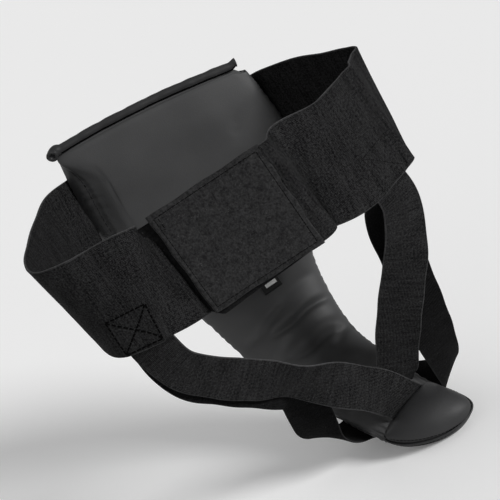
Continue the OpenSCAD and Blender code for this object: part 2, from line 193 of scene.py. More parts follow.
def strapFrames(path, faces, reach):
    fine = np.linspace(0, len(path) - 1, (len(path) - 1) * 60 + 1)
    length = runAlong(curveAt(path, fine))
    rows = np.linspace(0, length[-1], max(4, int(length[-1] / rowStep)) + 1)
    places = np.interp(rows, length, fine)
    middle = smoothList(curveAt(path, places), reach)
    looks = smoothList(unitRows(curveAt(faces, places)), reach * 1.6)
    along = unitRows(np.gradient(middle, axis=0))
    side = unitRows(np.cross(along, looks))
    return {"at": places, "length": rows, "middle": middle, "along": along, "side": side, "out": np.cross(side, along)}


def straightRail(at, length, middle, side, facing):
    # a rail for a strap that doesn't twist, with its outer face on the facing side
    along = unitRows(np.gradient(middle, axis=0))
    side = np.tile(side, (len(at), 1))
    out = np.cross(side, along)
    if (out @ facing).mean() < 0:
        side, out = -side, -out
    return {"at": at, "length": length, "middle": middle, "along": along, "side": side, "out": out}


def acrossSteps(width, step, edge):
    inner = list(np.linspace(-width / 2 + edge * 2.2, width / 2 - edge * 2.2, max(3, int(width / step)) + 1))
    border = [-width / 2 + edge * k for k in (0, 0.12, 0.4, 0.85, 1.45)]
    return np.array(border + inner + [-b for b in reversed(border)])


def clothWaves(rail, wide, *waves):
    # unevenness of a strap, each wave as (height, scale, seed)
    spots = (rail["middle"][:, None, :] + rail["side"][:, None, :] * wide[..., None]).reshape(-1, 3)
    return sum(high * ripple(spots, scale, seed) for high, scale, seed in waves).reshape(wide.shape)


def makeStrap(name, rail, width, thick, step=3.0, shape=None, endRound=0.8, bead=0.15, seam=None):
    # a woven band along a rail: rounded selvages, closed ends, cloth UV
    # shape gives how far each place moves out and sideways, and also its swell and its advance if they matter
    edge = thick * 0.55
    across = acrossSteps(width, step, edge)
    rows, cols = len(rail["length"]), len(across)
    run = rail["length"][:, None] * np.ones(cols)
    wide = across[None, :] * np.ones((rows, 1))
    moves = (*(shape(run, wide, rail) if shape else (0, 0)), 1, 0)[:4]
    out, slide, swell, advance = (move + 0 * run for move in moves)
    fromEdge = width / 2 - np.abs(wide)
    half = thick / 2 * roundOff(fromEdge / edge) + bead * bump(fromEdge, edge * 1.6, edge * 0.6)
    total = rail["length"][-1]
    half = half * swell * roundOff(np.minimum(run, total - run) / endRound)
    side = rail["side"][:, None, :] * np.ones((1, cols, 1))
    if seam is not None:
        share = ramp(run, total - width * 0.7, total)[..., None]
        cut = unitRows(side * (1 - share) + np.asarray(seam) * share)
        side = cut / np.maximum((cut * side).sum(-1, keepdims=True), 0.6)
    base = rail["middle"][:, None, :] + side * (wide + slide)[..., None]
    base = base + rail["along"][:, None, :] * advance[..., None]
    top, low = (base + rail["out"][:, None, :] * (out + way * half)[..., None] for way in (1, -1))
    ring, ringUv = (np.concatenate([a, b[:, -2:0:-1]], axis=1)
                    for a, b in ((top, low), (np.stack([run, wide], -1),) * 2))
    piece = makePiece(name, ring.reshape(-1, 3), ringFaces(*ring.shape[:2]), ringUv.reshape(-1, 2))
    faceOutwards(piece)
    return piece, {"top": top, "normal": rail["out"], "run": run[:, 0], "wide": wide[0]}


def gridPlace(value, marks):
    # between which two marks a value lies, and how far along
    at = np.clip(np.interp(value, marks, np.arange(len(marks))), 0, len(marks) - 1.001)
    return int(at), at - int(at)


def gridSpot(grid, i, f, j, g):
    a, b = ((1 - f) * grid[i, k % grid.shape[1]] + f * grid[i + 1, k % grid.shape[1]] for k in (j, j + 1))
    return (1 - g) * a + g * b


def surfaceSpot(sheet, run, wide):
    # a place on a strap's outer face, and the way it looks there
    i, f = gridPlace(run, sheet["run"])
    j, g = gridPlace(wide, sheet["wide"])
    return gridSpot(sheet["top"], i, f, j, g), sheet["normal"][i]


# ---------- stitches ----------


def makeStitchModel():
    bpy.ops.object.select_all(action="DESELECT")
    bpy.ops.mesh.primitive_cylinder_add(vertices=6, radius=0.5, depth=1, end_fill_type="NGON")
    model = bpy.context.object
    bpy.ops.object.mode_set(mode="EDIT")
    bpy.ops.mesh.select_all(action="SELECT")
    bpy.ops.transform.rotate(value=math.radians(90), orient_axis="Y", center_override=(0, 0, 0))
    bpy.ops.mesh.select_all(action="DESELECT")
    bpy.ops.object.mode_set(mode="OBJECT")
    for face in model.data.polygons:
        face.select = len(face.vertices) > 4
    bpy.ops.object.mode_set(mode="EDIT")
    bpy.ops.mesh.inset(thickness=0.16, depth=0.12)
    bpy.ops.object.mode_set(mode="OBJECT")
    verts = np.array([v.co[:] for v in model.data.vertices])
    faces = [tuple(f.vertices) for f in model.data.polygons]
    bpy.data.objects.remove(model)
    return verts, faces


stitchVerts, stitchFaces = makeStitchModel()


def sewRun(batch, spots, normals, pitch, thick, sink, gap=1.3):
    # lays stitches along a line of places, each one bowed out of the cloth
    spots, normals = np.asarray(spots, float), unitRows(np.asarray(normals, float))
    length = runAlong(spots)
    count = max(1, int(length[-1] / pitch))
    local = stitchVerts
    arch = 0.22 * (1 - (2 * local[:, :1] / 1.1) ** 2)
    for k in range(count):
        ends = [(k + 0.5) * length[-1] / count + way * (pitch - gap) / 2 for way in (-1, 1)]
        a, b = (np.array([np.interp(e, length, spots[:, i]) for i in range(3)]) for e in ends)
        n = np.array([np.interp(sum(ends) / 2, length, normals[:, i]) for i in range(3)])
        size = np.linalg.norm(b - a)
        if size < 0.3:
            continue
        d = (b - a) / size
        n = unitRows(n - d * n.dot(d))
        batch.append((a + b) / 2 + d * (local[:, :1] * size) + np.cross(d, n) * (local[:, 1:2] * thick)
                     + n * (local[:, 2:3] * thick * 0.7 + arch - sink + thick * 0.3))


def makeStitches(name, batch, body, nodes=()):
    step = len(stitchVerts)
    faces = [tuple(v + k * step for v in f) for k in range(len(batch)) for f in stitchFaces]
    placePiece(makePiece(name, np.concatenate(batch), faces), body, threadFinish, nodes)


def sewOnSheet(batch, sheet, corners, pitch=4.2, thick=0.65, gap=1.3):
    for a, b in zip(corners[:-1], corners[1:]):
        places = [surfaceSpot(sheet, a[0] + (b[0] - a[0]) * f, a[1] + (b[1] - a[1]) * f) for f in np.linspace(0, 1, 24)]
        sewRun(batch, *zip(*places), pitch, thick, 0.25, gap)


# ---------- materials ----------


def feed(tree, node, values):
    # fills a node's inputs: a socket is linked, a plain value is stored
    for name, value in values.items():
        if isinstance(value, bpy.types.NodeSocket):
            tree.links.new(value, node.inputs[name])
        else:
            node.inputs[name].default_value = value


def makeNode(tree, kind, values, **settings):
    node = tree.nodes.new("ShaderNode" + kind)
    for name, value in settings.items():
        setattr(node, name, value)
    feed(tree, node, values)
    return node


def mathNode(tree, operation, a, b=None, clamp=False):
    values = {0: a} if b is None else {0: a, 1: b}
    return makeNode(tree, "Math", values, operation=operation, use_clamp=clamp).outputs[0]


def times(tree, a, b, clamp=False):
    return mathNode(tree, "MULTIPLY", a, b, clamp)


def total(tree, *parts, shift=0.0):
    # the sum of (socket, share) parts
    result = shift
    for value, share in parts:
        result = mathNode(tree, "ADD", times(tree, value, share), result)
    return result


def ridges(tree, value):
    return mathNode(tree, "ABSOLUTE", mathNode(tree, "SINE", times(tree, value, math.pi)))


def noiseNode(tree, place, scale, detail=2.0, rough=0.5, size=(1, 1, 1), twist=0.0):
    stretched = makeNode(tree, "Mapping", {"Vector": place, "Scale": size}).outputs[0]
    return makeNode(tree, "TexNoise", {"Vector": stretched, "Scale": scale, "Detail": detail, "Roughness": rough,
                                       "Distortion": twist}).outputs["Fac"]


def newGroup(name, inputs, outputs):
    group = bpy.data.node_groups.new(name, "ShaderNodeTree")
    group.interface.new_socket(name="Vector", in_out="INPUT", socket_type="NodeSocketVector")
    for socket, value in inputs.items():
        group.interface.new_socket(name=socket, in_out="INPUT", socket_type="NodeSocketFloat").default_value = value
    for socket in outputs:
        group.interface.new_socket(name=socket, in_out="OUTPUT", socket_type="NodeSocketFloat")
    return group, group.nodes.new("NodeGroupInput").outputs, group.nodes.new("NodeGroupOutput")


def makeWeaveGroup():
    # woven elastic: ribs along the band, picks across it that step from rib to rib, stray fibres, and a painted
    # highlight along the selvage
    tree, ins, outs = newGroup("elasticWeave", {"Ribs": 800.0, "Picks": 800.0, "HalfWidth": 0.02, "Mottle": 1.0},
                               ["Height", "Shade", "Fuzz", "SelvageHighlight"])
    place = ins["Vector"]
    split = makeNode(tree, "SeparateXYZ", {0: place}).outputs
    ribs, picks = times(tree, split[1], ins["Ribs"]), times(tree, split[0], ins["Picks"])
    pick = ridges(tree, total(tree, (picks, 1.0), (mathNode(tree, "FLOOR", ribs), 0.5)))
    cell = times(tree, mathNode(tree, "POWER", ridges(tree, ribs), 0.7), total(tree, (pick, 0.7), shift=0.3))
    fibre = noiseNode(tree, place, 2300, 2, 0.7, (1, 0.35, 1))
    mottle = noiseNode(tree, place, 620, 2, 0.75, (1, 0.8, 1))
    streak = noiseNode(tree, place, 420, 1, 0.6, (1, 0.08, 1))
    patch = noiseNode(tree, place, 45, 2, 0.6)
    uneven = times(tree, total(tree, (mottle, 1.7), (streak, 0.7), (fibre, 1.0), shift=-1.7), ins["Mottle"])
    # paler towards both edges of the band: a painted highlight where the selvage would catch the light
    fromEdge = mathNode(tree, "SUBTRACT", ins["HalfWidth"], mathNode(tree, "ABSOLUTE", split[1]))
    edge = mathNode(tree, "SUBTRACT", 1.0, times(tree, fromEdge, 900.0), True)
    feed(tree, outs, {
        "Height": total(tree, (cell, 1.0), (uneven, 0.35)),
        "Shade": total(tree, (cell, 0.6), (patch, 0.4), (uneven, 1.1)),
        "Fuzz": mathNode(tree, "GREATER_THAN", noiseNode(tree, place, 1100, 1, 0.5, (1, 0.4, 1)), 0.70),
        "SelvageHighlight": times(tree, edge, total(tree, (mottle, 0.8), shift=0.3), True)})
    return tree


def makeGrainGroup():
    # artificial leather: a fine pebble with shallow pores, and slow patches of polish
    tree, ins, outs = newGroup("leatherGrain", {"Pebble": 1400.0, "Patch": 30.0}, ["Height", "Polish", "Shade"])
    cells = makeNode(tree, "TexVoronoi", {"Vector": ins["Vector"], "Scale": ins["Pebble"]}, feature="SMOOTH_F1")
    feed(tree, cells, {"Smoothness": 0.5})
    fine = noiseNode(tree, ins["Vector"], 700, 3, 0.6)
    slow = noiseNode(tree, ins["Vector"], ins["Patch"], 3)
    feed(tree, outs, {"Height": total(tree, (cells.outputs["Distance"], -0.7), (fine, 0.5)), "Polish": slow,
                      "Shade": total(tree, (slow, 0.7), (fine, 0.3))})
    return tree


def makePileGroup():
    # brushed loop cloth: matted fibre in short tufts over a knitted ground
    tree, ins, outs = newGroup("loopPile", {"Tuft": 900.0, "Mat": 160.0}, ["Height", "Shade"])
    tuft = noiseNode(tree, ins["Vector"], ins["Tuft"], 4, 0.75)
    mat = noiseNode(tree, ins["Vector"], ins["Mat"], 3, twist=0.6)
    feed(tree, outs, {"Height": total(tree, (tuft, 1.0), (mat, 0.8)),
                      "Shade": total(tree, (tuft, 1.7), (mat, 0.8), shift=-0.72)})
    return tree


def makeLintGroup():
    # dust and lint that black cloth always carries: a few pale specks
    tree, ins, outs = newGroup("lint", {"Scale": 420.0, "Amount": 0.3}, ["Mask"])
    spots = makeNode(tree, "TexVoronoi", {"Vector": ins["Vector"], "Scale": ins["Scale"], "Randomness": 1})
    near = mathNode(tree, "LESS_THAN", spots.outputs["Distance"], 0.12)
    rare = mathNode(tree, "GREATER_THAN", noiseNode(tree, ins["Vector"], 90, 2), 0.56)
    feed(tree, outs, {"Mask": times(tree, times(tree, near, rare), ins["Amount"])})
    return tree


weaveGroup, grainGroup, pileGroup, lintGroup = makeWeaveGroup(), makeGrainGroup(), makePileGroup(), makeLintGroup()


def addGroup(tree, group, place, **values):
    return makeNode(tree, "Group", {"Vector": place, **values}, node_tree=group).outputs


def newFinish(name, rough, specular, sheen=0.0):
    finish = bpy.data.materials.new(name)
    finish.use_nodes = True
    tree = finish.node_tree
    shader = tree.nodes["Principled BSDF"]
    feed(tree, shader, {"Roughness": rough, "Specular IOR Level": specular, "Sheen Weight": sheen})
    return finish, tree, shader, makeNode(tree, "TexCoord", {}).outputs


def liftColour(tree, colour, mask, light):
    return makeNode(tree, "Mix", {"A": colour, "B": (*light, 1), "Factor": mask}, data_type="RGBA").outputs["Result"]


def mixColours(tree, share, dark, light):
    share = makeNode(tree, "MapRange", {"Value": share, "From Min": 0.2, "From Max": 0.9}).outputs[0]
    return liftColour(tree, (*dark, 1), share, light)


def addLint(tree, colour, place, scale, amount, shade):
    lint = addGroup(tree, lintGroup, place["Object"], Scale=scale, Amount=amount)
    return liftColour(tree, colour, lint["Mask"], (shade,) * 3)


def dress(tree, shader, colour, height, strength, depth):
    bumps = makeNode(tree, "Bump", {"Height": height, "Strength": strength, "Distance": depth}).outputs[0]
    feed(tree, shader, {"Base Color": colour, "Normal": bumps})


def makeElasticFinish(name, width, pitch, dark, light, mottle=1.0):
    finish, tree, shader, place = newFinish(name, 0.9, 0.06)
    weave = addGroup(tree, weaveGroup, place["UV"], Ribs=1000 / pitch, Picks=1000 / pitch, HalfWidth=width / 2 * mm,
                     Mottle=mottle)
    colour = mixColours(tree, weave["Shade"], dark, light)
    colour = liftColour(tree, colour, times(tree, weave["Fuzz"], 0.4), [2.4 * c for c in light])
    # the selvage mask lifts the colour along both edges: painted highlight
    colour = liftColour(tree, colour, times(tree, weave["SelvageHighlight"], 0.8), [3.2 * c for c in light])
    dress(tree, shader, addLint(tree, colour, place, 380.0, 0.25, 0.10), weave["Height"], 0.8, 0.0005)
    return finish


def makeLeatherFinish(name, dark, light, rough, grain=0.35):
    finish, tree, shader, place = newFinish(name, rough, 0.28)
    skin = addGroup(tree, grainGroup, place["Object"], Pebble=1300.0, Patch=22.0)
    polish = makeNode(tree, "MapRange", {"Value": skin["Polish"], "From Min": 0.3, "From Max": 0.7,
                                         "To Min": rough - 0.05, "To Max": rough + 0.07})
    feed(tree, shader, {"Roughness": polish.outputs[0]})
    dress(tree, shader, mixColours(tree, skin["Shade"], dark, light), skin["Height"], grain, 0.0003)
    return finish


def makePlushFinish(name, dark, light, strength=0.9):
    finish, tree, shader, place = newFinish(name, 0.95, 0.05, 0.04)
    pile = addGroup(tree, pileGroup, place["Object"], Tuft=560.0, Mat=210.0)
    colour = addLint(tree, mixColours(tree, pile["Shade"], dark, light), place, 420.0, 0.45, 0.14)
    dress(tree, shader, colour, pile["Height"], strength, 0.0011)
    return finish


def makeMouldedFinish(name, dark, light, rough, scale):
    finish, tree, shader, place = newFinish(name, rough, 0.3)
    cells = addGroup(tree, grainGroup, place["Object"], Pebble=scale, Patch=18.0)
    dress(tree, shader, mixColours(tree, cells["Shade"], dark, light), cells["Height"], 0.5, 0.0005)
    return finish


def makeThreadFinish():
    finish, tree, shader, place = newFinish("blackThread", 0.8, 0.03)
    ply = makeNode(tree, "TexWave", {"Vector": place["Object"], "Scale": 900}, bands_direction="DIAGONAL")
    twist = ply.outputs["Fac"]
    dress(tree, shader, mixColours(tree, twist, (0.0006,) * 3, (0.0026,) * 3), twist, 0.5, 0.0001)
    return finish


def makeLabelFinish(name, dark, light):
    finish, tree, shader, place = newFinish(name, 0.5, 0.3)
    weave = addGroup(tree, weaveGroup, place["UV"], Ribs=2600.0, Picks=2000.0, HalfWidth=0.0095, Mottle=0.3)
    dress(tree, shader, mixColours(tree, weave["Shade"], dark, light), weave["Height"], 0.4, 0.0002)
    return finish


beltFinish = makeElasticFinish("beltElastic", 100, 1.15, (0.002, 0.002, 0.0022), (0.028, 0.028, 0.0285))
bandFinish = makeElasticFinish("bandElastic", 40, 1.3, (0.002, 0.002, 0.0022), (0.030, 0.030, 0.0305), 0.8)
# the two side bands get a darker copy of the band elastic: painted shade for the shade they lie in behind the rear
# bands
shadedSideBandFinish = makeElasticFinish("sideBandElasticPaintedShade", 40, 1.3, (0.001, 0.001, 0.0011), (0.0105, 0.0105, 0.0108), 0.7)
leatherFinish = makeLeatherFinish("artificialLeather", (0.042, 0.0422, 0.043), (0.062, 0.0623, 0.063), 0.5)
bindingFinish = makeLeatherFinish("bindingLeather", (0.016, 0.0162, 0.017), (0.030, 0.0302, 0.031), 0.55, 0.5)
# the tail gets a darker copy of the leather: painted shade that dims its upturned top, which faces the key light
shadedTailFinish = makeLeatherFinish("tailLeatherPaintedShade", (0.022, 0.0222, 0.023), (0.036, 0.0362, 0.037), 0.52, 0.5)
plushFinish = makePlushFinish("loopPlush", (0.007, 0.007, 0.0074), (0.036, 0.036, 0.0365))
panelFinish = makePlushFinish("panelCloth", (0.002, 0.002, 0.0022), (0.012, 0.012, 0.0124), 0.6)
hookFinish = makePlushFinish("hookTape", (0.003, 0.003, 0.003), (0.016, 0.016, 0.016), 1.0)
cushionFinish = makeMouldedFinish("softCushion", (0.07, 0.07, 0.075), (0.12, 0.12, 0.125), 0.6, 900.0)
cupFinish = makeMouldedFinish("cupShell", (0.72, 0.72, 0.7), (0.8, 0.8, 0.78), 0.35, 300.0)
threadFinish = makeThreadFinish()
labelFinish = makeLabelFinish("labelSatin", (0.002, 0.002, 0.002), (0.010, 0.010, 0.010))
labelMarkFinish = makeLabelFinish("labelMark", (0.55, 0.55, 0.54), (0.85, 0.85, 0.84))
print("materials made")

# ---------- pouch ----------
frontY = -101.0
rearY = 105.0
pouch = {
    "middle": [(5, 3, 64), (5, 2, 30), (4, 0, -20), (4, 0, -78), (3, 8, -130),
               (-1, 28, -178), (-12, 64, -214), (-28.5, 108.6, -240.4), (-43.5, 148.2, -256.8)],
    "half": [93, 98, 101, 90, 63, 51, 40.8, 37.2, 34.2],
    "rear": [7.5, 17.5, 18.6, 19.0, 20.5, 20.0, 15.5, 11.0, 9.36],
    "front": [3.96, 22, 35.2, 44, 44, 37.84, 29.04, 22, 19.36],
    "yaw": -6, "bow": 5, "slant": 8, "gusset": 0.26,
    "creaseLeft": 8.5, "creaseRight": 3.4, "rearRound": 2.1, "frontRound": 2.3,
    "rows": 190, "turns": 150, "simRows": 70, "simTurns": 72, "swell": 4.0, "deepest": -3.8,
}
# folds across the bend, as (length, drift, middle, half span, depth, width)
pouchFolds = [
    (4.78, 0.16, 0.34, 0.36, 3.4, 0.060), (5.06, -0.10, -0.20, 0.55, 4.2, 0.065),
    (5.38, 0.12, 0.40, 0.40, 2.4, 0.075), (5.70, -0.20, -0.04, 0.60, 4.0, 0.075),
    (5.98, 0.14, -0.45, 0.36, 2.6, 0.07), (6.30, -0.16, 0.15, 0.50, 2.6, 0.09),
    (4.46, -0.10, -0.50, 0.32, 1.8, 0.09), (6.70, 0.12, -0.2, 0.50, 2.0, 0.09), (7.02, -0.08, 0.2, 0.5, 1.8, 0.08),
]
neckEnd = len(pouch["middle"]) - 1


def pouchFrame(s):
    s = np.atleast_1d(np.asarray(s, float))
    middle = curveAt(pouch["middle"], s) + np.array([0, frontY, 0])
    down = flowAt(pouch["middle"], s)
    yaw = math.radians(pouch["yaw"])
    left = np.array([math.cos(yaw), math.sin(yaw), 0])
    side = unitRows(left - down * (down @ left)[:, None])
    return middle, down, side, np.cross(side, down)


def frameAt(s):
    return [rows[0] for rows in pouchFrame(s)]


def seamLine(q, width):
    # 1 on both side seams, fading over the width
    return bump(np.abs(np.cos(np.radians(q))), 1.0, width)


def puff(s):
    f = np.clip((s - neckEnd + 0.3) / 0.3, 0, 1)
    return 0.4 + 0.6 * np.sqrt(1 - 0.98 * f * f)


def rounded(c, power):
    return np.sign(c) * np.abs(c) ** (2 / power)


def pouchLift(s, x):
    return (pouch["bow"] * (1 - x * x) + pouch["slant"] * x) * np.clip(1 - s, 0, 1) ** 1.2


def pouchPoint(s, q, d=0.0):
    # place on the pouch at length s and turn q in degrees: 0 left seam, 90 rear, 180 right seam, 270 front
    s, q = np.broadcast_arrays(np.asarray(s, float), np.asarray(q, float))
    shape = s.shape
    s, q = s.ravel(), np.radians(q.ravel())
    c, w = np.cos(q), np.sin(q)
    rear = w > 0
    box = ramp(s, -0.3, 0.5) * (1 - ramp(s, 3.2, 4.8))  # the box-like part above the neck
    left = ramp(c, -0.5, 0.5)
    crease = pouch["creaseLeft"] * left + pouch["creaseRight"] * (1 - left)
    power = np.where(rear, pouch["rearRound"] + box * (crease - pouch["rearRound"]), pouch["frontRound"])
    a = curveAt(pouch["half"], s) - d
    b = np.where(rear, curveAt(pouch["rear"], s) * puff(s), curveAt(pouch["front"], s) * (0.7 + 0.3 * puff(s))) - d
    x, y = rounded(c, power), rounded(w, power)
    # the left side slants in from the seam to the crease
    x = x * (1 - pouch["gusset"] * ramp(c, -0.2, 0.6) * box * ramp(s, 0.1, 0.9) * ramp(y, 0.05, 0.95))
    middle, down, side, back = pouchFrame(s)
    spot = middle + side * (a * x)[:, None] + back * (np.maximum(b, 0.2) * y)[:, None]
    spot[:, 2] += pouchLift(s, x)
    spot[:, 2] -= 9 * ramp(-x, 0.84, 1.0) ** 2 * (1 - ramp(s, 0.0, 0.35))  # rounded upper right corner
    return spot.reshape(shape + (3,))


def pouchWrinkles(s, q):
    # how far the skin stands out or in at each place, in millimetres
    c = np.cos(np.radians(q))
    rear = ramp(np.sin(np.radians(q)), 0.02, 0.35)
    front = ramp(-np.sin(np.radians(q)), 0.02, 0.35)
    out = np.zeros_like(s)
    for at, drift, centre, span, depth, wide in pouchFolds:
        line = at + drift * (c - centre) + 0.035 * np.sin(6 * c + at * 9)
        fade = np.exp(-0.5 * ((c - centre) / span) ** 4)
        groove = bump(s, line, wide)
        lips = bump(s, line - wide * 2.4, wide * 1.5) + 0.7 * bump(s, line + wide * 2.6, wide * 1.6)
        out += rear * fade * depth * (0.5 * lips - groove)
    # slow swells of the padding, and the skin drawn lengthways into the tail seam
    out += rear * 0.8 * np.sin(3.3 * s + 2.5 * c) * ramp(s, 3.8, 4.6)
    gathers = np.sin(q / 360 * 2 * math.pi * 24 + 1.5 * np.sin(q / 21))
    out += 0.9 * gathers * ramp(s, 7.45, 7.85) * (1 - ramp(s, 7.97, 8.0))
    # fine puckers along both side seams
    for sign in (1, -1):
        near = np.sign(c) == sign
        out += seamLine(q, 0.03) * near * 0.4 * np.sin(s * 38 + 3 * sign + 2 * np.sin(s * 7)) * ramp(s, 0.3, 1.2)
        out -= 1.2 * seamLine(q, 0.004) * near
    # soft waves of the front face over the foam
    out += front * (0.9 * np.sin(s * 5.5 + 2.2 * c) * np.sin(3.1 * c + s) * ramp(s, 0.3, 1.5))
    return np.maximum(out, pouch["deepest"])


blowing = {"pressure": 4.0, "frames": 20, "quality": 6, "mass": 0.3, "stiffness": 18, "bending": 0.6}


def inflate(name, grid, pinned, cap):
    # blows up a closed padded form as cloth, and gives back how far each place moved
    rows, cols = grid.shape[:2]
    work = makePiece(name + "Work", grid.reshape(-1, 3), ringFaces(rows, cols))
    edit = bmesh.new()
    edit.from_mesh(work.data)
    bmesh.ops.recalc_face_normals(edit, faces=edit.faces)
    bmesh.ops.triangulate(edit, faces=[f for f in edit.faces if len(f.verts) > 4])
    edit.to_mesh(work.data)
    edit.free()
    held = work.vertex_groups.new(name="held")
    for index, weight in enumerate(pinned.ravel()):
        held.add([index], float(weight), "REPLACE")
    cloth = work.modifiers.new("cloth", "CLOTH").settings
    cloth.quality = blowing["quality"]
    cloth.mass = blowing["mass"]
    cloth.tension_stiffness = cloth.compression_stiffness = blowing["stiffness"]
    cloth.bending_stiffness = blowing["bending"]
    cloth.use_pressure = True
    cloth.uniform_pressure_force = blowing["pressure"]
    cloth.vertex_group_mass = "held"
    cloth.effector_weights.gravity = 0
    scene = bpy.context.scene
    for step in range(1, blowing["frames"] + 1):
        scene.frame_set(step)
    done = work.evaluated_get(bpy.context.evaluated_depsgraph_get()).to_mesh()
    moved = np.zeros(len(done.vertices) * 3)
    done.vertices.foreach_get("co", moved)
    moved = moved.reshape(-1, 3)[:rows * cols].reshape(grid.shape) / mm - grid
    scene.frame_set(1)
    bpy.data.objects.remove(work)
    far = np.linalg.norm(moved, axis=-1, keepdims=True)
    moved *= np.minimum(1, cap / np.maximum(far, 1e-6))
    print(name, "inflated by up to", round(float(far.max()), 1), "mm, kept to", cap)
    return moved


def spreadMoves(moves, fromRows, fromTurns, rows, turns):
    # the coarse cloth result at the places of a finer grid
    r = np.interp(rows, fromRows, np.arange(len(fromRows)))
    wrapped = np.concatenate([fromTurns, [fromTurns[0] + 360]])
    k = np.interp(turns, wrapped, np.arange(len(wrapped)))
    closed = np.concatenate([moves, moves[:, :1]], axis=1)
    full = np.stack([curveAt(closed[:, :, a], r) for a in range(3)], -1)
    return np.stack([curveAt(full[:, :, a].T, k).T for a in range(3)], -1)


def evenTurns(count):
    turns = np.linspace(0, 360, count, endpoint=False)
    return turns - 9 * np.sin(np.radians(turns * 2))  # more columns where the sides turn


def fillForm(name, point, coarse, fine, hold, cap, probe):
    # a padded form's places on the fine grid, which way they look, and how far the filling pushes them out
    s, q = np.meshgrid(*coarse, indexing="ij")
    moves = inflate(name, point(s, q, 0.8), np.clip(hold(s, q), 0, 1), cap)
    s, q = np.meshgrid(*fine, indexing="ij")
    spots = point(s, q)
    out = unitRows(spots - point(s, q, probe))
    pushed = (spreadMoves(moves, *coarse, *fine) * out).sum(-1)
    return s, q, spots, out, np.clip(pushed, -0.5, cap)


def closedForm(name, grid):
    # shuts a ringed form at both ends with a ring pressed flat
    mirror = (-np.arange(grid.shape[1])) % grid.shape[1]
    first, last = ((ring + ring[mirror]) / 2 for ring in (grid[0], grid[-1]))
    grid = np.concatenate([first[None], grid, last[None]])
    piece = makePiece(name, grid.reshape(-1, 3), ringFaces(*grid.shape[:2]))
    faceOutwards(piece)
    return piece


pouchGrid = {}


def makePouch():
    coarse = np.concatenate([np.linspace(0, 0.3, 5)[:-1], np.linspace(0.3, neckEnd, pouch["simRows"] - 4)])
    lengths = np.concatenate([np.linspace(0, 0.3, 10)[:-1], np.linspace(0.3, 7.6, pouch["rows"] - 22),
                              np.linspace(7.6, neckEnd, 14)[1:]])
    turns = evenTurns(pouch["turns"])

    def hold(s, q):
        # both ends and the side seams are sewn down, the left crease nearly so
        sewn = np.maximum(seamLine(q, 0.004), np.maximum(1 - ramp(s, 0.05, 0.3), ramp(s, 7.8, 7.95)))
        return np.maximum(sewn, 0.75 * bump(q, 38, 7) * ramp(s, 0.2, 0.8) * (1 - ramp(s, 3.0, 4.2)))
    s, q, spots, out, filled = fillForm("pouch", pouchPoint, (coarse, evenTurns(pouch["simTurns"])), (lengths, turns),
                                        hold, pouch["swell"], 2.0)
    flat = spots.reshape(-1, 3)
    face = pouchWrinkles(s, q) + filled * 0.7
    face += 0.4 * ripple(flat, 45, 3.1).reshape(s.shape) + 0.16 * ripple(flat, 16, 7.7).reshape(s.shape)
    rear = np.sin(np.radians(q))
    # the padding crowns between the creases, and a line runs just under the binding
    face += ramp(rear, 0.05, 0.6) * 0.8 * rear**2 * ramp(s, 0.2, 1.0) * (1 - ramp(s, 3.0, 4.5))
    face -= 1.0 * bump(s, 0.10, 0.04) * ramp(np.abs(rear), 0.05, 0.5)
    spots = spots + out * face[..., None]
    pouchGrid.update(spots=spots, out=out, lengths=lengths, turns=np.append(turns, turns[0] + 360))
    piece = closedForm("pouchPad", spots)
    placePiece(piece, "harness", leatherFinish,
               ["pouch_inner_skin", "pouch_outer_skin", "inner_foam", "outer_foam", "abdomen_foam"])


def sewOnPouch(batch, places, pitch, thick, sink):
    # sews along (length, turn) places of the finished skin
    spots, normals = [], []
    for s, q in places:
        i, f = gridPlace(s, pouchGrid["lengths"])
        j, g = gridPlace(q, pouchGrid["turns"])
        spots.append(gridSpot(pouchGrid["spots"], i, f, j, g))
        normals.append(pouchGrid["out"][i, j])
    sewRun(batch, spots, normals, pitch, thick, sink)


makePouch()
seamSewing = {"from": 0.5, "to": 7.6, "turns": (3, 352, 172, 188)}
batch = []
for turn in seamSewing["turns"]:
    sewOnPouch(batch, [(s, turn) for s in np.linspace(seamSewing["from"], seamSewing["to"], 170)], 4.2, 0.6, 0.35)
makeStitches("pouchStitches", batch, "harness")
print("pouch made")

# ---------- rolled binding ----------
binding = {"wide": 8.4, "ring": 28, "steps": 160, "left": 0.955, "right": -0.955, "behind": 3.4, "curl": 5.5,
           "bend": 11}
tubeCap = ((0.62, -0.5), (0.45, 1.0), (0.3, 2.0))  # the rings that close a tube, as (size, depth)


def makeTube(name, spots, radii, ring, squeeze=None):
    along = unitRows(np.gradient(spots, axis=0))
    side = unitRows(np.cross(along, np.array([0, 0, 1.0])))
    up = np.cross(side, along)
    angle = np.linspace(0, 2 * math.pi, ring, endpoint=False)
    rings = []
    for k in range(len(spots)):
        r = radii[k] * (np.ones(ring) if squeeze is None else squeeze(k, angle))
        rings.append(spots[k] + (side[k] * np.cos(angle)[:, None] + up[k] * np.sin(angle)[:, None]) * r[:, None])
    first, last = ([spots[k] + (rings[k] - spots[k]) * f + way * along[k] * g for f, g in tubeCap]
                   for k, way in ((0, 1), (-1, -1)))
    rings = first[::-1] + rings + last
    run = runAlong(spots)
    run = np.concatenate([[run[0]] * 3, run, [run[-1]] * 3])
    uv = np.stack([np.repeat(run, ring), np.tile(angle * np.mean(radii), len(run))], 1)
    piece = makePiece(name, np.concatenate(rings), ringFaces(len(rings), ring), uv)
    faceOutwards(piece)
    return piece


